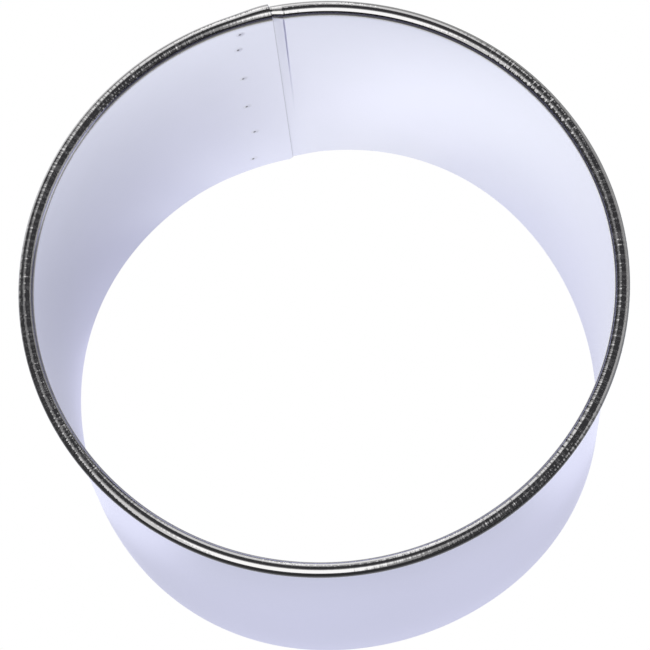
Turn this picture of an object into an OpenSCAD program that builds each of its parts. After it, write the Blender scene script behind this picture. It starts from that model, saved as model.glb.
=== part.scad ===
// A plain round biscuit cutter. One strip of tinplate is bent into a ring: its lower edge is left raw
// for cutting, and its upper edge is curled outwards into a hollow bead that is kind to the palm.
// The strip's ends lap at the back of the ring and six spot welds hold them together.
// The origin is the ring's centre on the plane of the cutting edge, Z runs up the ring's axis, and
// the line of welds lies on +Y. Angles are counted anticlockwise from +X, seen from above.

/* [Ring] */
// Diameter across the cutting edge, outside the sheet
cutter_d = 76.2; // [60:0.1:110]
// Height from the cutting edge to the top of the rolled bead
cutter_h = 50; // [30:0.5:70]
// Thickness of the tinplate strip
sheet_t = 0.3; // [0.2:0.01:0.35]

/* [Rolled bead] */
// Outside diameter of the rolled bead
bead_d = 2; // [1.8:0.1:3]
// Gap between the wall and the bead's raw edge, which is rolled in underneath
bead_edge_gap = 0.15; // [0.1:0.05:0.3]

/* [Lapped seam] */
// Length of the lap, from one end of the strip to the other
lap_l = 10.6; // [9:0.2:16]
// Gap between the two lapped sheets
lap_gap = 0.05; // [0.04:0.01:0.1]
// Length of the joggle, the step that carries the outer end over the inner one
joggle_l = 1.3; // [1:0.1:2.5]
// Length of the outer end's squeezed bead that plugs into the inner end's opened bead
plug_l = 6; // [4:0.5:8]
// Gap between the notched top of the outer end and the bead above it
notch_gap = 0.2; // [0.1:0.1:0.8]
// Size of the clipped lower corner of the inner end
corner_clip = 0.6; // [0.3:0.1:1.2]

/* [Spot welds] */
// Diameter of a weld nugget
weld_d = 1.3; // [1:0.1:1.6]
// Diameter of the dimple that an electrode leaves on a nugget
dimple_d = 0.9; // [0.5:0.1:0.9]
// Depth of that dimple
dimple_depth = 0.06; // [0.03:0.01:0.08]
// Height of the lowest weld above the cutting edge
weld_low = 3.8; // [2:0.1:6]
// Width of metal between the highest weld and the notch above it
weld_high_margin = 0.2; // [0.1:0.1:1]
// Distance from the highest weld down to the next one
weld_high_pitch = 4.6; // [2:0.1:6]

/* [Hidden] */
$fn = 96;
// Short lengths, each a little narrower than the last, that make up the opened and squeezed beads
flare_steps = 4;
// Short lengths that make up the joggle
joggle_steps = 4;
// How far a cutting shape runs past the metal
past = 1;
// The welds are made by hand: how far each strays along the ring from the weld line, lowest first
weld_stray = [0.6, -0.3, 0.2, 0, 0, -0.6];

wall_r = cutter_d/2 - sheet_t;
bead_r = bead_d/2;
bead_z = cutter_h - bead_r;
// The outer end stands this far out from the inner end
lap_step = sheet_t + lap_gap;
lap_r = wall_r + lap_step;
notch_z = bead_z - bead_r - notch_gap;

// Where the parts of the seam lie round the ring
weld_line = 90;
inner_end = weld_line - turn(lap_l/2);
outer_end = weld_line + turn(lap_l/2);
joggle_end = inner_end - turn(lap_gap);
joggle_angle = turn(joggle_l/joggle_steps);
crease = joggle_end - joggle_steps*joggle_angle;
flare_angle = turn(plug_l/flare_steps);
sleeve_end = inner_end + flare_steps*flare_angle;
plug_end = joggle_end + flare_steps*flare_angle;

// The evenly spaced welds run from the lowest to the last but one
weld_high = notch_z - weld_high_margin - weld_d/2;
even_welds = len(weld_stray) - 1;
weld_pitch = (weld_high - weld_high_pitch - weld_low)/(even_welds - 1);

// Angle that a length takes up along the ring, to a hundredth of a degree, so that what ends at an
// angle and what starts there share the same plane
function turn(length) = round(length/(wall_r + sheet_t/2)*180/PI*100)/100;

function mix(a, b, f) = a + (b - a)*f;

// Radius of the inner end's opened bead in its step k, counted from its end edge
function sleeve_r(k) = bead_r + lap_step/2*(1 - k/flare_steps);

// Radius of the outer end's squeezed bead where it lies inside step k of the opened one
function plug_r(k) = sleeve_r(k) - lap_step;

// Turns a section into a length of the ring between two angles
module run(from, to) {
    rotate_extrude(start = from, angle = to - from)
        children();
}

// Section of the wall, with its inner face at radius x
module wall_section(x, top) {
    translate([x, 0])
        square([sheet_t, top]);
}

// Section of a bead of radius r, rolled from the top of a wall at radius x, over and down, until its
// raw edge is a gap away from that wall
module bead_section(x, r, gap) {
    raw_edge = acos((r - sheet_t - gap)/r) - 180;
    reach = 2*r;
    translate([x + r, bead_z])
        difference() {
            circle(r);
            circle(r - sheet_t);
            polygon([[0, 0], [-reach, 0], [-reach, -reach], [reach*cos(raw_edge), reach*sin(raw_edge)]]);
        }
}

// The plain run of the ring, from the end of the opened bead round to the crease
module plain_run() {
    run(sleeve_end, crease + 360) {
        wall_section(wall_r, bead_z);
        bead_section(wall_r, bead_r, bead_edge_gap);
    }
}

// The inner end: a plain wall below a bead that opens towards the end edge, and that leaves room
// under its raw edge for the other end's wall to slip in
module inner_lap() {
    for (k = [0:flare_steps - 1])
        run(inner_end + k*flare_angle, inner_end + (k + 1)*flare_angle) {
            wall_section(wall_r, bead_z);
            bead_section(wall_r, sleeve_r(k), lap_step + lap_gap);
        }
}

// The joggle: the sheet steps out to clear the inner end, in short lengths that overlap by most of
// its thickness, with its bead already squeezed to fit inside the opened one
module joggle() {
    for (k = [0:joggle_steps - 1])
        let (x = mix(wall_r, lap_r, (k + 1)/(joggle_steps + 1)))
            run(crease + k*joggle_angle, crease + (k + 1)*joggle_angle) {
                wall_section(x, bead_z);
                bead_section(x, plug_r(0), bead_edge_gap);
            }
}

// The outer end: its wall runs behind the inner end's, its squeezed bead plugs into the opened one,
// and its top is notched away beyond that
module outer_lap() {
    run(plug_end, outer_end)
        wall_section(lap_r, notch_z);
    for (k = [0:flare_steps - 1])
        run(joggle_end + k*flare_angle, joggle_end + (k + 1)*flare_angle) {
            wall_section(lap_r, bead_z);
            bead_section(lap_r, plug_r(k), bead_edge_gap);
        }
}

// The lower corner of the inner end, cut off at 45 degrees
module clipped_corner() {
    rotate(inner_end)
        translate([wall_r - past, 0, 0])
            rotate([90, 0, 90])
                linear_extrude(past + sheet_t + lap_gap/2)
                    polygon([[-past, -past], [corner_clip + past, -past], [-past, corner_clip + past]]);
}

// Places children on the wall's inner face at weld number i, with their Z pointing outwards
module at_weld(i) {
    height = i < even_welds ? weld_low + i*weld_pitch : weld_high;
    rotate(weld_line + turn(weld_stray[i]))
        translate([wall_r, 0, height])
            rotate([0, 90, 0])
                children();
}

// The round bar of metal that weld number i melts through both sheets
module weld_core(i) {
    at_weld(i)
        translate([0, 0, -past])
            cylinder(d = weld_d, h = lap_step + sheet_t + 2*past);
}

// The dish left by one electrode, centred on a face of the lap
module dimple() {
    dish_r = (dimple_d*dimple_d/4 + dimple_depth*dimple_depth)/(2*dimple_depth);
    translate([0, 0, dimple_depth - dish_r])
        sphere(r = dish_r);
}

module rolled_strip() {
    color("lightsteelblue")
        difference() {
            union() {
                plain_run();
                inner_lap();
                joggle();
                outer_lap();
            }
            clipped_corner();
            for (i = [0:even_welds])
                weld_core(i);
        }
}

module spot_weld(i) {
    color("slategray")
        difference() {
            intersection() {
                weld_core(i);
                cylinder(r = lap_r + sheet_t, h = cutter_h);
            }
            translate([0, 0, -past])
                cylinder(r = wall_r, h = cutter_h + 2*past);
            at_weld(i)
                dimple();
            at_weld(i)
                translate([0, 0, lap_step + sheet_t])
                    mirror([0, 0, 1])
                        dimple();
        }
}

rolled_strip();
spot_weld(0);  // spot_weld_1
spot_weld(1);  // spot_weld_2
spot_weld(2);  // spot_weld_3
spot_weld(3);  // spot_weld_4
spot_weld(4);  // spot_weld_5
spot_weld(5);  // spot_weld_6
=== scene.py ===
# %% [markdown]
# # A round biscuit cutter in tinplate
# The cutter is one strip of thin tinplate, bent into a ring. Its top edge is curled outwards into
# a bead, and its two ends lap and are spot-welded. The exact solids come from the CAD as a fixed
# frame, and this lesson dresses them: a finer sheet, its finish, the studio and the camera.
# Blender works in metres here, but a cutter is easier to think of in millimetres, so the sizes
# below are millimetres and one factor, MM, turns them into metres.

# %% Load the frame
import bpy
import math
import numpy as np
from mathutils import Matrix, Vector


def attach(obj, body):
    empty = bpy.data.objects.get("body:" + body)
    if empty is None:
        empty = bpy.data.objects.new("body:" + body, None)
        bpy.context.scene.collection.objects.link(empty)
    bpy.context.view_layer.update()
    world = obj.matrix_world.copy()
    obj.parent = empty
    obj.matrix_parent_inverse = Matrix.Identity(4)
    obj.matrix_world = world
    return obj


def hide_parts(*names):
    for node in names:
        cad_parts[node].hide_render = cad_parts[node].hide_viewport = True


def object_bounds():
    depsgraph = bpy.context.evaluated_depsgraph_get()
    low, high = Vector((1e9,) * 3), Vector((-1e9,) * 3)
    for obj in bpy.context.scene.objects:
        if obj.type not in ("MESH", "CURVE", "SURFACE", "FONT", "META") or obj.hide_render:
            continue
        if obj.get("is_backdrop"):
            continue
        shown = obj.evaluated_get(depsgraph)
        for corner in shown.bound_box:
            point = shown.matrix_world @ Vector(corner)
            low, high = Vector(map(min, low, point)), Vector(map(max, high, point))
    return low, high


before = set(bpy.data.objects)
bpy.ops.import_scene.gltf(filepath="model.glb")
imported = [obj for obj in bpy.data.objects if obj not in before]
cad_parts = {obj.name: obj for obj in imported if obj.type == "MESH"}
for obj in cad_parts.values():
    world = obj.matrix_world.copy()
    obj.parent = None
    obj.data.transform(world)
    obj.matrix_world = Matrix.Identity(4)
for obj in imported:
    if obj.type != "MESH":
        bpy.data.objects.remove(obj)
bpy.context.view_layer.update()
scene = bpy.context.scene
MM = 0.001
print("CAD nodes:", sorted(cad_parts))

# %% [markdown]
# ## The camera
# The cutter is seen from high up through a long lens, with the camera tipped a little. We could
# move a camera by eye, but one fitted to the ring's two ellipses, the rim's and the cutting
# edge's, is steadier: the fit gives the distance, the height, the tip and the point in the middle
# of the frame. The seam lies a little to the left of the far side, so the whole studio is turned
# about the ring by that angle, and everything in it is placed in the studio's own directions.

# %% The studio's own directions
SEAM_TURN = math.radians(-10.7)


def studio_point(x, y, z):
    """A point as the camera sees the ring, x to the right and y away, in the CAD's frame."""
    c, s = math.cos(SEAM_TURN), math.sin(SEAM_TURN)
    return Vector((x * c - y * s, x * s + y * c, z)) * MM


def aimed(place, target, roll=0.0):
    """The matrix of a lamp or camera at a place, looking at a target, tipped by roll."""
    ahead = (target - place).normalized()
    right = ahead.cross(Vector((0, 0, 1))).normalized()
    up = right.cross(ahead)
    x_axis = right * math.cos(roll) + up * math.sin(roll)
    y_axis = up * math.cos(roll) - right * math.sin(roll)
    matrix = Matrix((x_axis, y_axis, -ahead)).transposed().to_4x4()
    matrix.translation = place
    return matrix


print("the camera's right lies along", [round(v / MM, 3) for v in studio_point(1, 0, 0)])

# %% Place the camera
FOCUS_PX, FRAME_PX, SENSOR = 2915, 650, 36
CAMERA_PLACE, CAMERA_TARGET = (-0.54, -129.84, 405.1), (-0.54, 10.83, 0)
CAMERA_TIP = math.radians(-7.91)

camera_data = bpy.data.cameras.new("camera")
camera_data.sensor_width = SENSOR
camera_data.lens = SENSOR * FOCUS_PX / FRAME_PX
camera_data.clip_start, camera_data.clip_end = 10 * MM, 50000 * MM
camera = bpy.data.objects.new("camera", camera_data)
scene.collection.objects.link(camera)
camera.matrix_world = aimed(studio_point(*CAMERA_PLACE), studio_point(*CAMERA_TARGET), CAMERA_TIP)
scene.camera = camera
scene.view_settings.view_transform = "Standard"
print("lens in mm:", round(camera_data.lens, 1))

# %% [markdown]
# ## The strip's sizes
# A finer sheet will stand for the CAD's rolled_strip, so it keeps that solid's sizes: the wall,
# the bead, and the places round the ring where the parts of the seam lie. They could be measured
# on the CAD's mesh, but the plain numbers are exact and easy to read. Angles run anticlockwise
# from +X. The strip starts at its inner end, runs once round the ring and laps over its own
# start.

# %% Sizes of the sheet, in millimetres and degrees
SHEET = 0.3               # thickness of the tin
WALL_R = 37.8             # inner face of the wall
BEAD_R = 0.993            # a hair under the CAD's 1 mm, whose flat facets lie that much further in
BEAD_Z = 49.0             # height of the bead's middle
LAP_STEP = 0.35           # how far the outer end stands out from the inner one
NOTCH_Z = 47.8            # top of the outer end beyond its plug
MID_R = WALL_R + SHEET / 2
INNER_END, SLEEVE_END = 82.0, 91.04
CREASE, JOGGLE_END = 439.96, 441.92
PLUG_END, OUTER_END = 450.9, 458.0
WELD_LINE, WELD_R = 90.0, 0.65
# Each weld's stray from the weld line, in degrees, and its height
WELDS = [(0.91, 3.8), (-0.45, 13.4375), (0.3, 23.075), (0.0, 32.7125), (0.0, 42.35), (-0.91, 46.95)]


def degrees_of(length):
    """The angle that a length takes up along the ring."""
    return math.degrees(length / MID_R)


print("strip length in mm:", round(math.radians(OUTER_END - INNER_END) * MID_R, 1))

# %% [markdown]
# ## How the strip is laid out
# The real strip starts flat, and so does this one: a grid with one direction along it and the
# other up the wall and round the bead. A cylinder and a torus would be quicker, but they would
# meet in a seam of their own and couldn't lap. In the grid every face is four-sided, both sides
# of the sheet share the layout, and lines lie close together only at the seam, where the shape
# changes.

# %% Lines along the strip
WELD_STEP = 0.15          # degrees between lines near the welds
END_BAND = 0.2           # degrees of sheet at each end that the material shows darker
near_welds = WELD_STEP * 16
lap_line = WELD_LINE + 360


def spread(a, b, step):
    """Evenly spaced values from a up to, but not including, b."""
    return list(np.linspace(a, b, max(1, round((b - a) / step)), endpoint=False))


columns, start = [INNER_END], INNER_END + END_BAND
for end, step in [(WELD_LINE - near_welds, 0.5), (WELD_LINE + near_welds, WELD_STEP),
                  (CREASE - 6, 1.0), (CREASE - 0.6, 0.4), (CREASE - 0.3, 0.1), (CREASE + 0.5, 0.04),
                  (JOGGLE_END + 0.4, 0.1), (lap_line - near_welds, 0.5),
                  (lap_line + near_welds, WELD_STEP), (OUTER_END - END_BAND, 0.5)]:
    columns += spread(start, end, step)
    start = end
columns = np.array(columns + [start, OUTER_END])
print("lines along the strip:", len(columns))

# %% Lines across the strip
WINDOW_LINES = 8          # half the width of the window round a weld, in lines
WINDOW_H = 0.85           # half its height
WINDOW_ROWS = 6
WALL_STEP = 2.6           # distance between lines on the plain wall
BEAD_ROWS = 40
BEAD_SPAN = 5.3           # length of sheet in the curl
EDGE_ROWS, NECK_ROWS = [0.0, 0.3, 0.6], [48.3, 48.75]

rows = list(EDGE_ROWS)
for _, height in WELDS:
    low, high = height - WINDOW_H, height + WINDOW_H
    if low - rows[-1] > 0.1:
        rows += spread(rows[-1], low, WALL_STEP)[1:]
    rows += spread(low, high, 2 * WINDOW_H / WINDOW_ROWS)
    rows.append(high)
rows = np.array(rows + NECK_ROWS + list(BEAD_Z + BEAD_SPAN * np.linspace(0, 1, BEAD_ROWS + 1)))
print("lines across the strip:", len(rows))

# %% [markdown]
# ## The shape of the sheet
# One function puts a point of the flat strip in space. The wall stands upright, the bead is a
# curl whose radius changes steadily at the seam, and the outer end steps outwards at a joggle
# whose crease is crisp under the bead and softer lower down. Modifiers could bend a flat sheet in
# much this way, but a formula keeps every size exact. A hand-rolled wall is never quite true, so
# a few gentle waves move both of its faces together. They grow towards the cutting edge and fade
# at the seam.


# %% The wall's gentle waves
def smooth(x, a, b):
    """0 before a, 1 after b, and an even curve between."""
    f = np.clip((x - a) / (b - a), 0, 1)
    return f * f * (3 - 2 * f)


# Waves to a turn, size, and start angle of each wave
OUT_OF_ROUND = [(0, 0.06, 0), (1, 0.21, -112), (2, 0.27, -134), (3, 0.18, 147), (4, 0.25, 170)]
HELD_BY_BEAD = 47.0       # the stiff bead holds the wall true from this height up
HELD_BY_LAP = WELD_LINE + 2, WELD_LINE + 16


def wall_wave(phi, height):
    """How far the wall strays outwards."""
    waves = sum(size * np.cos(np.radians(turns * phi + first))
                for turns, size, first in OUT_OF_ROUND)
    return waves * np.clip(1 - height / HELD_BY_BEAD, 0, 1) * smooth(phi, *HELD_BY_LAP)


round_ring = np.arange(0, 360) + WELD_LINE
print("cutting edge strays from", round(wall_wave(round_ring, 0).min(), 2), "to",
      round(wall_wave(round_ring, 0).max(), 2), "mm")

# %% Radius of the wall and of the bead
CRISP_HEIGHTS = 10, 40    # the crease turns from soft to crisp between these heights
CRISP_WIDTH, SOFT_WIDTH = 0.35, 4
CRISP_SHARE = 0.8         # part of the step that the crisp crease makes at once
LEAN, LEAN_FOOT, LEAN_RISE = 0.3, 14, 33      # the crease leans by so many degrees as it rises
RAMP_HEIGHTS = 47.5, 49   # under the bead the joggle is an even ramp


def wall_radius(phi, height):
    """Radius of the wall's inner face, which steps out at the joggle."""
    low = 1 - smooth(height, *CRISP_HEIGHTS)
    line = CREASE + 0.1 - LEAN * np.clip((height - LEAN_FOOT) / LEAN_RISE, 0, 1)
    crisp = (CRISP_SHARE * smooth(phi, line, line + CRISP_WIDTH)
             + (1 - CRISP_SHARE) * smooth(phi, line, JOGGLE_END))
    soft = smooth(phi, CREASE - SOFT_WIDTH, JOGGLE_END)
    ramp = np.clip((phi - CREASE) / (JOGGLE_END - CREASE), 0, 1)
    in_ramp = smooth(height, *RAMP_HEIGHTS)
    step = (crisp * (1 - low) + soft * low) * (1 - in_ramp) + ramp * in_ramp
    return WALL_R + LAP_STEP * step + wall_wave(phi, height) * (1 - step)


def bead_radius(phi):
    """Outside radius of the bead: opened at the inner end, squeezed at the outer end."""
    opened = LAP_STEP / 2 * (1 - smooth(phi, INNER_END, SLEEVE_END))
    squeezed = (wall_radius(phi, BEAD_Z) - WALL_R) / 2
    further = LAP_STEP / 2 * smooth(phi, JOGGLE_END, PLUG_END)
    return BEAD_R + opened - squeezed - further


print("bead radius at the inner end, plain run and plug:",
      np.round(bead_radius(np.array([INNER_END, 200.0, PLUG_END])), 3))

# %% From the flat strip to a point in space
EDGE_GAP, SLEEVE_GAP = 0.15, 0.25         # gap under the raw edge, and what the sleeve adds to it
CORNER_CLIP = 0.6
BEAD_SLANT = 0.4          # how far the bead's end leans back
END_REACH = 3.0           # length of strip that clip and slant draw in


def sheet_point(phi, up, depth):
    """Points of the sheet: depth 0 is the inner face of the wall and the outside of the bead."""
    phi, up = np.asarray(phi, float), np.asarray(up, float)
    r = bead_radius(phi)
    gap = EDGE_GAP + SLEEVE_GAP * (1 - smooth(phi, SLEEVE_END, SLEEVE_END + 2))
    raw_edge = np.arccos(np.clip((r - SHEET - gap) / r, -1, 1)) - math.pi
    share = np.clip((up - BEAD_Z) / BEAD_SPAN, 0, 1)
    curl = math.pi - share * (math.pi - raw_edge)
    in_bead = up > BEAD_Z
    wall = wall_radius(phi, np.minimum(up, BEAD_Z))
    radius = np.where(in_bead, wall + r + (r - depth) * np.cos(curl), wall + depth)
    height = np.where(in_bead, BEAD_Z + (r - depth) * np.sin(curl), up)
    cut = np.where(in_bead, BEAD_SLANT * (1 + np.cos(curl)) / 2, np.maximum(CORNER_CLIP - up, 0))
    from_end = (phi - INNER_END) / degrees_of(END_REACH)
    angle = np.radians(phi + degrees_of(1) * cut * np.clip(1 - from_end, 0, 1))
    return np.stack([radius * np.cos(angle), radius * np.sin(angle), height], -1)


print("a point at the foot of the plain run:", np.round(sheet_point(200, 0, 0), 2))

# %% [markdown]
# ## Laying the grid and leaving room for the welds
# The spot welds are real pieces of the frame, so the strip has a round hole for each one in both
# of its layers. Cutting them with booleans would leave slivers. Instead, a square window of cells
# is left out round each weld, and rings of cells run from the square to the circle.

# %% Cells of the flat strip
numbers = {}              # a pair of grid lines, or a place on a ring -> its point number
points = []               # the angle and height of each point
cells = []                # four point numbers each
windows = []              # first and last column, first and last row, angle and height of the weld


def point(key, phi, up):
    """The number of a point of the flat strip, made when it is first asked for."""
    if key not in numbers:
        numbers[key] = len(points)
        points.append((phi, up))
    return numbers[key]


def nearest(lines, place):
    """The number of the line that lies nearest to a place."""
    return int(np.argmin(np.abs(lines - place)))


for turn in (0, 360):
    for stray, height in WELDS:
        middle = nearest(columns, turn + WELD_LINE + round(stray / WELD_STEP) * WELD_STEP)
        windows.append((middle - WINDOW_LINES, middle + WINDOW_LINES,
                        nearest(rows, height - WINDOW_H), nearest(rows, height + WINDOW_H),
                        turn + WELD_LINE + stray, height))

notch_column, notch_row = nearest(columns, PLUG_END), nearest(rows, NOTCH_Z)
for i in range(len(columns) - 1):
    for j in range(len(rows) - 1):
        notched = i >= notch_column and j >= notch_row
        if notched or any(a <= i < b and c <= j < d for a, b, c, d, _, _ in windows):
            continue
        corners = [(i, j), (i + 1, j), (i + 1, j + 1), (i, j + 1)]
        cells.append([point(k, columns[k[0]], rows[k[1]]) for k in corners])
print("plain cells:", len(cells))

# %% Rings of cells round each weld
RINGS = 3
for a, b, c, d, weld_phi, weld_z in windows:
    rim = ([(i, c) for i in range(a, b)] + [(b, j) for j in range(c, d)]
           + [(i, d) for i in range(b, a, -1)] + [(a, j) for j in range(d, c, -1)])
    loops = [[point(k, columns[k[0]], rows[k[1]]) for k in rim]]
    for ring in range(1, RINGS + 1):
        share = ring / RINGS
        loop = []
        for n, k in enumerate(rim):
            run = (columns[k[0]] - weld_phi) / degrees_of(1)
            rise = rows[k[1]] - weld_z
            bearing = math.atan2(rise, run)
            run = run * (1 - share) + WELD_R * math.cos(bearing) * share
            rise = rise * (1 - share) + WELD_R * math.sin(bearing) * share
            loop.append(point((weld_phi, weld_z, ring, n),
                              weld_phi + run * degrees_of(1), weld_z + rise))
        loops.append(loop)
    for outer, inner in zip(loops, loops[1:]):
        for n in range(len(rim)):
            m = (n + 1) % len(rim)
            cells.append([outer[n], outer[m], inner[m], inner[n]])
print("cells with the rings round the welds:", len(cells))

# %% [markdown]
# ## The solid sheet
# Tinplate this thin still shows its thickness at the ends and at the cutting edge. A Solidify
# modifier could give it, but it would round the clipped corner and the notch. So each flat cell
# gives a face on both sides of the sheet, and an edge that only one cell uses, which lies on the
# sheet's rim, gives a narrow face across the thickness. Those corners stay sharp, and all else is
# smooth.

# %% Faces and edges
cells = np.array(cells)
flat_phi, flat_up = np.array(points).T
count = len(points)
directed = np.concatenate([cells[:, [k, (k + 1) % 4]] for k in range(4)])
rim_edges = np.array(sorted(set(map(tuple, directed)) - set(map(tuple, directed[:, ::-1]))))
p, q = rim_edges.T
faces = np.concatenate([cells[:, ::-1], cells + count,
                        np.stack([q + count, p + count, p, q], 1)])
verts = np.concatenate([sheet_point(flat_phi, flat_up, 0.0),
                        sheet_point(flat_phi, flat_up, SHEET)]) * MM
print("vertices and faces:", len(verts), len(faces))


# %% The strip's object
def mesh_object(name, verts, faces):
    """A smooth-shaded object from arrays of points and four-sided faces."""
    mesh = bpy.data.meshes.new(name)
    mesh.from_pydata(verts.tolist(), [], faces.tolist())
    mesh.polygons.foreach_set("use_smooth", np.ones(len(faces), bool))
    mesh.update()
    thing = bpy.data.objects.new(name, mesh)
    scene.collection.objects.link(thing)
    return thing


strip = mesh_object("tinplate_strip", verts, faces)
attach(strip, "root")
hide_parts("rolled_strip")
print("strip in mm:", [round(v / MM, 2) for v in strip.dimensions])

# %% Sharp corners along the rim
edge_ends = np.empty(len(strip.data.edges) * 2, int)
strip.data.edges.foreach_get("vertices", edge_ends)
edge_ends = np.sort(edge_ends.reshape(-1, 2), 1)
rim_pairs = np.sort(np.concatenate([rim_edges, rim_edges + count]), 1)
on_rim = np.isin(edge_ends[:, 0] * (2 * count) + edge_ends[:, 1],
                 rim_pairs[:, 0] * (2 * count) + rim_pairs[:, 1])
strip.data.attributes.new("sharp_edge", "BOOLEAN", "EDGE").data.foreach_set("value", on_rim)
print("sharp edges:", int(on_rim.sum()))

# %% [markdown]
# ## Measures that the finish reads
# The finish changes over the strip: the bead is bright and the wall is satin, the rolls left fine
# marks across the bead, and the welds dulled the tin round them. A painted picture could say
# where, but it would need unwrapping and would blur on so long a strip. Instead, the mesh carries
# plain numbers at its points, and the material reads them and follows the strip round the ring.

# %% Where things lie across the strip
NECK_LOW, NECK_FULL, NECK_HIGH = 48.55, 49.15, 49.7       # painted shade: the near-black band where the wall turns into the bead
NECK_SOFT = 0.12
FLANK, FLANK_SOFT = 51.5, 0.2             # where the bead's darker outer side starts: a duller skin and painted shade of the table it mirrors
across = np.tile(flat_up, 2)
turned = np.tile(flat_phi, 2)
along = turned / degrees_of(1)
bead = smooth(across, BEAD_Z - 0.25, BEAD_Z + 0.05)
flank_shade = smooth(across, FLANK - FLANK_SOFT, FLANK + FLANK_SOFT)


def stretch_of_ring(rise, fall):
    """1 on a stretch of the ring, with soft ends that rise and fall between two angles each."""
    return smooth(turned, *rise) * (1 - smooth(turned, *fall))


# The painted shade band ends lower on the left side and starts higher on the right
NECK_DROP, NECK_LIFT, FULL_LIFT = 0.4, 0.45, 0.8
neck_top = NECK_HIGH - NECK_DROP * stretch_of_ring((115, 130), (145, 160))
neck_lift = NECK_LIFT * stretch_of_ring((306, 324), (358, 378))
neck_shade = (smooth(across, NECK_LOW + neck_lift, NECK_FULL + FULL_LIFT * neck_lift)
        * (1 - smooth(across, neck_top - NECK_SOFT, neck_top + NECK_SOFT)))
print("strip runs from", round(along.min()), "to", round(along.max()), "mm")

# %% Where the rolls and the welds left their marks
PLAIN_MARKS = 0.25        # strength of the roll marks at front and back, against 1 at the sides
left_side = stretch_of_ring((92, 104), (190, 215))
rolled = PLAIN_MARKS + (1 - PLAIN_MARKS) * (left_side + stretch_of_ring((270, 290), (388, 402)))
scuffed = left_side + stretch_of_ring((270, 290), (368, 388))
# A darker band of tin at each end of the strip
edge = 1 - smooth(np.minimum(turned - INNER_END, OUTER_END - turned), 0, END_BAND)
heat = np.zeros(len(across))
for *_, weld_phi, weld_z in windows:
    reach = np.hypot(along - weld_phi / degrees_of(1), across - weld_z)
    heat = np.maximum(heat, 1 - smooth(reach, WELD_R * 0.9, WELD_R * 1.8))

measures = {"along": along, "across": across, "bead": bead, "neck_shade": neck_shade, "flank_shade": flank_shade,
            "rolled": rolled, "scuffed": scuffed, "heat": heat, "edge": edge}
for name, values in measures.items():
    strip.data.attributes.new(name, "FLOAT", "POINT").data.foreach_set("value", values)
print("measures at the points:", ", ".join(measures))

# %% [markdown]
# ## Helpers for nodes
# A finish is a small machine of nodes: measures and noise go in, and colour, gloss and relief
# come out. Wired by hand, node by node, it is hard to read, so a few short helpers each make one
# node, feed it and hand back its result.


# %% Feeding and mixing
def feed(tree, value, socket):
    """Links a socket to another node's result, or sets it to a plain number, vector or colour."""
    if isinstance(value, bpy.types.NodeSocket):
        tree.links.new(value, socket)
    else:
        socket.default_value = (*value, 1) if socket.type == "RGBA" else value


def mix_float(tree, factor, a, b):
    """A number between a and b."""
    node = tree.nodes.new("ShaderNodeMix")
    for value, socket in ((factor, "Factor"), (a, "A"), (b, "B")):
        feed(tree, value, node.inputs[socket])
    return node.outputs["Result"]


def mix_colour(tree, factor, a, b):
    """A colour between a and b."""
    node = tree.nodes.new("ShaderNodeMix")
    node.data_type = "RGBA"
    for value, socket in ((factor, "Factor"), (a, 6), (b, 7)):
        feed(tree, value, node.inputs[socket])
    return node.outputs[2]


# %% Sums, ranges and noise
def times(tree, a, b):
    """The product of two numbers."""
    node = tree.nodes.new("ShaderNodeMath")
    node.operation = "MULTIPLY"
    feed(tree, a, node.inputs[0])
    feed(tree, b, node.inputs[1])
    return node.outputs[0]


def measure(tree, operation, vector, other):
    """One number from two vectors: their DISTANCE or their DOT_PRODUCT."""
    node = tree.nodes.new("ShaderNodeVectorMath")
    node.operation = operation
    feed(tree, vector, node.inputs[0])
    feed(tree, other, node.inputs[1])
    return node.outputs["Value"]


def ranged(tree, value, low, high, to=(0, 1), kind="SMOOTHSTEP"):
    """A number that goes from one end of a range to the other as a value goes from low to high."""
    node = tree.nodes.new("ShaderNodeMapRange")
    node.interpolation_type = kind
    feed(tree, value, node.inputs["Value"])
    node.inputs["From Min"].default_value, node.inputs["From Max"].default_value = low, high
    node.inputs["To Min"].default_value, node.inputs["To Max"].default_value = to
    return node.outputs["Result"]


def stretched(tree, vector, scale, shift=(0, 0, 0)):
    """A vector scaled and then shifted along its three axes."""
    node = tree.nodes.new("ShaderNodeMapping")
    feed(tree, vector, node.inputs["Vector"])
    node.inputs["Scale"].default_value, node.inputs["Location"].default_value = scale, shift
    return node.outputs["Vector"]


def noise(tree, vector, scale, detail):
    """A soft noise round 0.5."""
    node = tree.nodes.new("ShaderNodeTexNoise")
    feed(tree, vector, node.inputs["Vector"])
    feed(tree, scale, node.inputs["Scale"])
    node.inputs["Detail"].default_value = detail
    return node.outputs["Fac"]


# %% [markdown]
# ## Soft clouds in the tin
# Tinplate has no single colour. It mirrors a blurred room, and the coating's crystals and the
# rollers leave faint clouds in its tone and its gloss. One noise would look even and lifeless.
# Two of different size, added up in one node group, serve the strip and the welds alike.

# %% A node group of soft clouds
FINER, FINE_SHARE = 6.0, 0.25             # the second noise: how much finer, and its share
soft_clouds = bpy.data.node_groups.new("soft_clouds", "ShaderNodeTree")
for name, way, kind in (("Vector", "INPUT", "Vector"), ("Scale", "INPUT", "Float"),
                        ("Clouds", "OUTPUT", "Float")):
    soft_clouds.interface.new_socket(name, in_out=way, socket_type="NodeSocket" + kind)
way_in = soft_clouds.nodes.new("NodeGroupInput")
way_out = soft_clouds.nodes.new("NodeGroupOutput")
place, scale = way_in.outputs["Vector"], way_in.outputs["Scale"]
broad = noise(soft_clouds, place, scale, 1.0)
small = noise(soft_clouds, place, times(soft_clouds, scale, FINER), 3.0)
feed(soft_clouds, mix_float(soft_clouds, FINE_SHARE, broad, small), way_out.inputs["Clouds"])
print("node group:", soft_clouds.name)


# %% Starting a material
def new_material(name):
    """A material with its node tree and its shader."""
    material = bpy.data.materials.new(name)
    material.use_nodes = True
    return material, material.node_tree, material.node_tree.nodes["Principled BSDF"]


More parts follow.
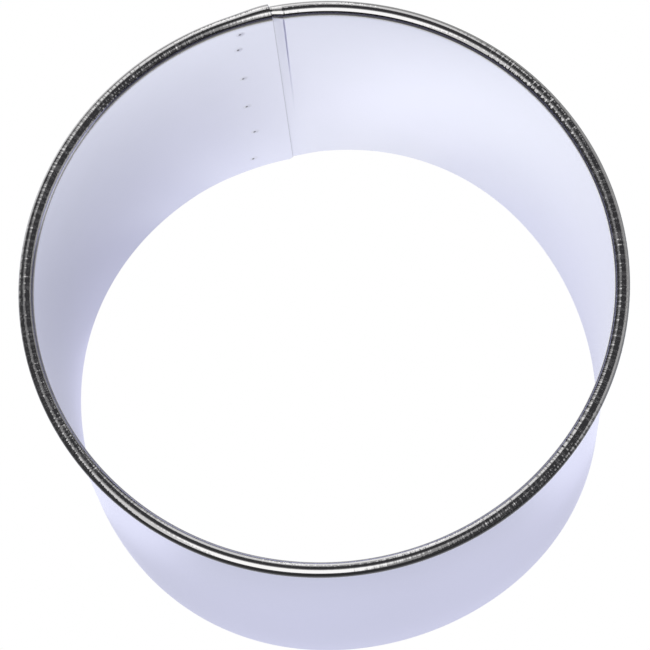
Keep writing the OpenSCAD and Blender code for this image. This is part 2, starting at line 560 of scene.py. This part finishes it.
def attribute(tree, name):
    """One of the strip's measures."""
    node = tree.nodes.new("ShaderNodeAttribute")
    node.attribute_name = name
    return node.outputs["Fac"]


def clouds(tree, scale):
    """Soft clouds that stay put on the object."""
    node = tree.nodes.new("ShaderNodeGroup")
    node.node_tree = soft_clouds
    feed(tree, tree.nodes.new("ShaderNodeTexCoord").outputs["Object"], node.inputs["Vector"])
    node.inputs["Scale"].default_value = scale
    return node.outputs["Clouds"]


# %% [markdown]
# ## The tinplate finish
# The wall is satin: it blurs what it mirrors, and it looks cool and slightly lilac. The bead was
# burnished by the rolls, so it is nearly a mirror. Its colour also carries painted shade: a
# near-black band where the wall turns into the bead, and a darker outer side, which is partly a
# duller skin and partly painted shade of the table it mirrors. We could give wall and bead a
# material each, but the real sheet has no border there. One metal material does both, and the
# bead measure blends from one to the other.

# %% Colour and gloss of the tin
# The outer side's dark grey is partly a duller skin and partly painted shade of the table it
# mirrors; the near-black band where the wall turns into the bead is painted shade
WALL_TIN = (0.66, 0.68, 0.83), (0.77, 0.77, 0.95)         # in the dark and in the pale clouds
BEAD_TIN, FLANK_SHADE_TIN = (0.80, 0.79, 0.79), (0.46, 0.46, 0.50)
NECK_SHADE_TIN, HEATED_TIN, END_DARK_TIN = (0.12, 0.115, 0.12), (0.70, 0.70, 0.82), (0.38, 0.38, 0.48)
WALL_ROUGH, BEAD_ROUGH = (0.26, 0.38), 0.075
WALL_CLOUDS = 22.0        # clouds to the metre

tin, tree, shader = new_material("satin_tinplate")
strip.data.materials.append(tin)
bead_share, tin_clouds = attribute(tree, "bead"), clouds(tree, WALL_CLOUDS)
colour = mix_colour(tree, bead_share, mix_colour(tree, tin_clouds, *WALL_TIN),
                    mix_colour(tree, attribute(tree, "flank_shade"), BEAD_TIN, FLANK_SHADE_TIN))
# Painted shade: the near-black band where the wall turns into the bead; then the welds' tint and
# the darker ends
for name, tone in (("neck_shade", NECK_SHADE_TIN), ("heat", HEATED_TIN), ("edge", END_DARK_TIN)):
    colour = mix_colour(tree, attribute(tree, name), colour, tone)
feed(tree, colour, shader.inputs["Base Color"])
feed(tree, mix_float(tree, bead_share, mix_float(tree, tin_clouds, *WALL_ROUGH), BEAD_ROUGH),
     shader.inputs["Roughness"])
print("material:", tin.name)

# %% [markdown]
# ## Marks of the rolls
# The rolls chattered as they curled the bead and left fine marks across it, about half a
# millimetre apart, and the wall has the finest grain. Both are only microns deep, far too fine
# for the mesh, so they are a bump. A noise drawn out across the strip gives the chatter its
# uneven rhythm, which a wave texture would make too regular. On both sides of the ring the marks
# are stronger, and small dull ticks lie among them, where the burnished skin was scuffed: there
# the metal is a little less of a mirror.

# %% Chatter and grain
CHATTER = (2.1, 0.03, 1.0)                # marks to the millimetre along the strip and across it
GRAIN, GRAIN_DEPTH = 2.5, 0.03
MARK_DEPTH = 0.1          # height of a full mark in the bump

strip_place = tree.nodes.new("ShaderNodeCombineXYZ")
feed(tree, attribute(tree, "along"), strip_place.inputs["X"])
feed(tree, attribute(tree, "across"), strip_place.inputs["Y"])
strip_place = strip_place.outputs["Vector"]
chatter = noise(tree, stretched(tree, strip_place, CHATTER), 1.0, 1.0)
grain = noise(tree, strip_place, GRAIN, 3.0)
relief = tree.nodes.new("ShaderNodeBump")
relief.inputs["Strength"].default_value = 1.0
relief.inputs["Distance"].default_value = MARK_DEPTH * MM
feed(tree, mix_float(tree, bead_share, times(tree, grain, GRAIN_DEPTH),
                     times(tree, chatter, attribute(tree, "rolled"))), relief.inputs["Height"])
feed(tree, relief.outputs["Normal"], shader.inputs["Normal"])
print("nodes in the tin:", len(tree.nodes))

# %% Dull ticks among the marks
TICKS = (3.2, 0.25, 1.0)                  # ticks to the millimetre along the strip and across it
TICK_FROM, TICK_FULL = 0.48, 0.68         # the part of the noise that shows as a tick
WALL_METAL, TICK_METAL = 0.8, 0.94        # against 1 on the burnished bead

ticks = noise(tree, stretched(tree, strip_place, TICKS), 1.0, 2.0)
skin = ranged(tree, ticks, TICK_FROM, TICK_FULL, to=(1.0, TICK_METAL), kind="LINEAR")
bead_metal = mix_float(tree, attribute(tree, "scuffed"), 1.0, skin)
feed(tree, mix_float(tree, bead_share, WALL_METAL, bead_metal), shader.inputs["Metallic"])
print("nodes with the ticks:", len(tree.nodes))

# %% [markdown]
# ## The spot welds
# Each weld is a plug of metal through both sheets, with a shallow dish on both faces where the
# electrodes pressed. They could be bumps in the strip's material, but the CAD's pieces have the
# true shape, so they stay, and only their finish is new: dull, and darker at a spot a little below
# the middle of the dish and to one side. That dark spot is partly a little copper and oxide from
# the electrode and partly painted shade on the dish's shaded side.

# %% Weld material
WELD_TIN, OXIDE_AND_SHADE = ((0.66, 0.665, 0.80), (0.78, 0.785, 0.92)), (0.16, 0.16, 0.19)
DARK_SPOT_AT = 0.42               # the darkest spot, as a share of the weld's width and of its height, set off the middle as painted shade
DARK_SPOT_FADE = 0.06, 0.22   # the dark fades between these distances from it
WELD_CLOUDS, WELD_ROUGH = 900.0, (0.35, 0.6)

weld, tree, shader = new_material("pressed_weld")
shader.inputs["Metallic"].default_value = 1.0
generated = tree.nodes.new("ShaderNodeTexCoord").outputs["Generated"]
from_dark_spot = measure(tree, "DISTANCE", (0, 0, 0),
                    stretched(tree, generated, (1, 0, 1), (-DARK_SPOT_AT, 0, -DARK_SPOT_AT)))
weld_clouds = clouds(tree, WELD_CLOUDS)
feed(tree, mix_colour(tree, ranged(tree, from_dark_spot, *DARK_SPOT_FADE), OXIDE_AND_SHADE,
                      mix_colour(tree, weld_clouds, *WELD_TIN)), shader.inputs["Base Color"])
feed(tree, mix_float(tree, weld_clouds, *WELD_ROUGH), shader.inputs["Roughness"])
for name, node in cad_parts.items():
    if name.startswith("spot_weld"):
        node.data.materials.clear()
        node.data.materials.append(weld)
        node.data.polygons.foreach_set("use_smooth", np.ones(len(node.data.polygons), bool))
print("material:", weld.name)

# %% [markdown]
# ## The floor
# The cutter stands on a plain white table. The walls are mirrors, though blurred ones, and what
# they show is mostly this table, shaded by the ring and lit from several sides. Real lamps and
# cards round a real table could do it, with much noise and trial. Here the table gives off its
# own light, and each kind of ray gets its own: the camera sees plain white, matt surfaces get an
# even wash, and mirrors see soft ramps of light. The ramps change slowly from place to place, so
# every tone on the metal can be set at the spot of the floor that the metal mirrors.

# %% The table and its directions
TABLE_HALF = 4000
table_corners = TABLE_HALF * MM * np.array([[-1, -1, 0], [1, -1, 0], [1, 1, 0], [-1, 1, 0]])
floor = mesh_object("white_table", table_corners, np.array([[0, 1, 2, 3]]))
floor_paint = bpy.data.materials.new("table_white")
floor.data.materials.append(floor_paint)
floor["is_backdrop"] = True
floor_paint.use_nodes = True
tree = floor_paint.node_tree
tree.nodes.clear()
studio_way = tree.nodes.new("ShaderNodeVectorRotate")
studio_way.rotation_type = "Z_AXIS"
studio_way.inputs["Angle"].default_value = -SEAM_TURN
feed(tree, tree.nodes.new("ShaderNodeTexCoord").outputs["Object"], studio_way.inputs["Vector"])
spot = studio_way.outputs["Vector"]
parts = tree.nodes.new("ShaderNodeSeparateXYZ")
feed(tree, spot, parts.inputs["Vector"])
to_right, away = parts.outputs["X"], parts.outputs["Y"]
print("floor side in m:", round(floor.dimensions.x, 1))

# %% Helpers for light on the table
PEAK = 1.5                # a ramp can't pass 1, so each glow is divided by this and put back later
GREEN, BLUE = 1.01, 1.11  # shares of green and blue against red, for the lilac of the tin


def far_from(x, y):
    """Distance of a spot of the table from a place, in metres."""
    return measure(tree, "DISTANCE", spot, (x * MM, y * MM, 0))


def beyond(distance, near, further):
    """0 where a distance is less than one length, 1 where it is more than the other."""
    return ranged(tree, distance, near * MM, further * MM)


def ramp(value, low, high, stops):
    """A colour that follows a value through stops, each a place, a glow and a share of blue."""
    node = tree.nodes.new("ShaderNodeValToRGB")
    node.color_ramp.interpolation = "EASE"
    while len(node.color_ramp.elements) < len(stops):
        node.color_ramp.elements.new(0.5)
    for element, (at, glow, blue) in zip(node.color_ramp.elements, stops):
        element.position = (at - low) / (high - low)
        element.color = (glow / PEAK, glow * GREEN / PEAK, glow * blue / PEAK, 1)
    feed(tree, ranged(tree, value, low * MM, high * MM, kind="LINEAR"), node.inputs["Fac"])
    return node.outputs["Color"]


# %% Light under the ring
from_middle = far_from(0, 0)
mid_ring = ramp(to_right, -40, 40, [
    (-40, 0.70, 1.14), (-33, 0.56, 1.13), (-27, 0.34, 1.11), (-19, 0.48, 1.06), (-10, 0.68, 1.02),
    (-4, 0.82, 0.97), (2, 1.18, 0.94), (8, 1.46, 0.94), (15, 1.37, 0.95), (22, 1.14, 1.0),
    (30, 1.03, 1.05), (40, 0.92, 1.08)])
inside_edge = ramp(to_right, -40, 40, [
    (-40, 0.96, 1.14), (-36, 0.84, 1.13), (-33, 0.68, 1.13), (-27, 0.69, 1.11), (-19, 0.91, 1.06),
    (-10, 1.06, 1.02), (-4, 1.12, 0.99), (2, 1.12, 0.96), (8, 1.12, 0.95), (15, 1.09, 0.96),
    (22, 1.01, 1.0), (30, 0.95, 1.05), (40, 0.87, 1.08)])
under_ring = mix_colour(tree, beyond(from_middle, 22, 39), mid_ring, inside_edge)
print("nodes for the light under the ring:", len(tree.nodes))

# %% Light beside the ring
# From the left side over the middle to the right side: place to the right, and glow
BESIDE = [(-45, 1.1), (-38, 1.05), (-35, 0.76), (-30, 0.72), (-20, 0.73), (-10, 0.73),
          (10, 0.71), (20, 0.73), (30, 0.73), (35, 0.76), (38, 1.06), (45, 1.1)]
IN_FRONT = [(-45, 0.98), (-38, 0.96), (-36, 0.72), (-33, 0.68), (-30, 0.71), (-20, 0.735),
            (-10, 0.74), (10, 0.735), (20, 0.735), (30, 0.71), (33, 0.68), (36, 0.72), (38, 0.96),
            (45, 0.98)]
FURTHER_GAIN, FOOT_GAIN, FOOT_SIDE_GAIN, FOOT_SIDE = 1.27, 1.06, 1.24, 32


def beside(stops, gain=lambda x: 1):
    """Light on the table outside the ring, with a gain that may depend on the place."""
    return ramp(to_right, -50, 50, [(x, glow * gain(x), BLUE) for x, glow in stops])


next_to_ring = beside(BESIDE)
further_out = beside(BESIDE, lambda x: FURTHER_GAIN)
front = beside(IN_FRONT)
front_foot = beside(IN_FRONT, lambda x: FOOT_SIDE_GAIN if abs(x) > FOOT_SIDE else FOOT_GAIN)
sides = mix_colour(tree, beyond(from_middle, 41, 50), next_to_ring, further_out)
front = mix_colour(tree, beyond(from_middle, 38.4, 40.2), front_foot, front)
front = mix_colour(tree, beyond(from_middle, 43, 50), front, further_out)
beside_ring = mix_colour(tree, beyond(times(tree, away, -1), 12.5, 17.5), sides, front)
print("nodes with the light beside the ring:", len(tree.nodes))

# %% Light further out
PALE_WAY = math.radians(65)               # the table is paler on this side, at the back right
BACK_PATCH = (0.62, 0.62, 0.63)           # and there is a pale patch at the back left
dark_side = ramp(from_middle, 0, 250, [
    (65, 0.36, 1.0), (90, 0.24, 1.0), (120, 0.15, 1.0), (180, 0.05, 1.0), (220, 0.04, 1.0)])
pale_side = ramp(from_middle, 0, 250, [(65, 0.42, 1.0), (100, 0.35, 1.0)])
towards_pale = measure(tree, "DOT_PRODUCT", spot, (math.cos(PALE_WAY), math.sin(PALE_WAY), 0))
outside = mix_colour(tree, beyond(towards_pale, -20, 15), dark_side, pale_side)
outside = mix_colour(tree, beyond(far_from(-75, 130), 40, 140), BACK_PATCH, outside)
outside = mix_colour(tree, beyond(from_middle, 50, 66), beside_ring, outside)
print("nodes with the light further out:", len(tree.nodes))

# %% One table for three kinds of ray
WALL_FOOT = 37.6, 38.4    # the wall stands between these distances and parts the two lights


def light(tree, kind, colour):
    """A node that gives off light of one colour."""
    node = tree.nodes.new(kind)
    feed(tree, colour, node.inputs["Color"])
    return node


def by_ray(tree, out, for_camera, for_matt, for_mirror):
    """Shows one light to the camera, one to matt surfaces and one to mirrors."""
    path = tree.nodes.new("ShaderNodeLightPath")
    matt, seen = tree.nodes.new("ShaderNodeMixShader"), tree.nodes.new("ShaderNodeMixShader")
    for socket, source in zip(matt.inputs, (path.outputs["Is Diffuse Ray"], for_mirror.outputs[0],
                                            for_matt.outputs[0])):
        feed(tree, source, socket)
    for socket, source in zip(seen.inputs, (path.outputs["Is Camera Ray"], matt.outputs[0],
                                            for_camera.outputs[0])):
        feed(tree, source, socket)
    feed(tree, seen.outputs[0], tree.nodes.new(out).inputs["Surface"])


WHITE, TABLE_WASH = (1, 1, 1), (0.8, 0.8, 0.84)
lit = light(tree, "ShaderNodeEmission",
            mix_colour(tree, beyond(far_from(0, 0.9), *WALL_FOOT), under_ring, outside))
lit.inputs["Strength"].default_value = PEAK
by_ray(tree, "ShaderNodeOutputMaterial", light(tree, "ShaderNodeEmission", WHITE),
       light(tree, "ShaderNodeEmission", TABLE_WASH), lit)
print("nodes in the floor:", len(tree.nodes))

# %% [markdown]
# ## The room and its lamps
# The bead is a thin round mirror that shows the whole room at once: pale stripes where soft boxes
# stand, and black lines where nothing does. A picture of a studio could light it, but plain
# rectangular lamps say the same in numbers that can be changed one by one. A soft box with a
# brighter core and a haze round both stands at the front left. Three boxes and a haze stand
# at the back, a faint grey wall with a patch on the right, and a small panel high up on the left.
# The rest of the room is nearly dark to mirrors, white to the camera and an even wash to matt
# surfaces, by the same switch as the table's.

# %% Room
ROOM_WASH, DARK_ROOM = (1.0, 1.0, 1.04), (0.042, 0.042, 0.045)
world = bpy.data.worlds.new("studio")
scene.world = world
world.use_nodes = True
tree = world.node_tree
tree.nodes.clear()
by_ray(tree, "ShaderNodeOutputWorld", light(tree, "ShaderNodeBackground", WHITE),
       light(tree, "ShaderNodeBackground", ROOM_WASH),
       light(tree, "ShaderNodeBackground", DARK_ROOM))
print("nodes in the room:", len(tree.nodes))


# %% Lamps
def soft_box(name, bearing, rise, distance, width, height, glow, tip=0.0):
    """A rectangular lamp that looks at the ring, as bright in a mirror as its glow says."""
    lamp = bpy.data.lights.new(name, "AREA")
    lamp.shape = "RECTANGLE"
    lamp.size, lamp.size_y = width * MM, height * MM
    lamp.energy = glow * math.pi * lamp.size * lamp.size_y
    thing = bpy.data.objects.new(name, lamp)
    scene.collection.objects.link(thing)
    b, r = math.radians(bearing), math.radians(rise)
    ground = distance * math.cos(r)
    place = studio_point(ground * math.cos(b), ground * math.sin(b),
                         distance * math.sin(r) + BEAD_Z)
    thing.matrix_world = aimed(place, Vector((0, 0, BEAD_Z * MM)), math.radians(tip))
    thing.visible_camera = False
    return thing


# Bearing and rise in degrees, distance, width and height in millimetres, glow, and tip in degrees
LAMPS = {
    "front_core": (247, 50, 900, 560, 800, 0.45, 8),
    "front_box": (235, 47, 900, 1040, 820, 0.46, 14),
    "front_haze": (242, 54, 980, 1500, 1150, 0.25, 10),
    "back_middle": (90, 16, 900, 290, 560, 0.55),
    "back_left": (106, 39, 900, 290, 660, 0.5),
    "back_right": (74, 31, 900, 270, 520, 0.4),
    "back_haze": (92, 28, 980, 1250, 900, 0.3),
    "right_wall": (8, 8, 950, 1700, 640, 0.22),
    "right_patch": (350, 4, 950, 560, 560, 0.14),
    "left_panel": (150, 58, 900, 500, 450, 0.16)}
for name, setting in LAMPS.items():
    soft_box(name, *setting)

# %% [markdown]
# ## The dressed model's size
# The size of the box round all that renders, apart from the table. The dressed model
# must stay inside the CAD's box.

# %% Sizes
low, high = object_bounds()
print("visual box in mm:", [round(v / MM, 2) for v in high - low])
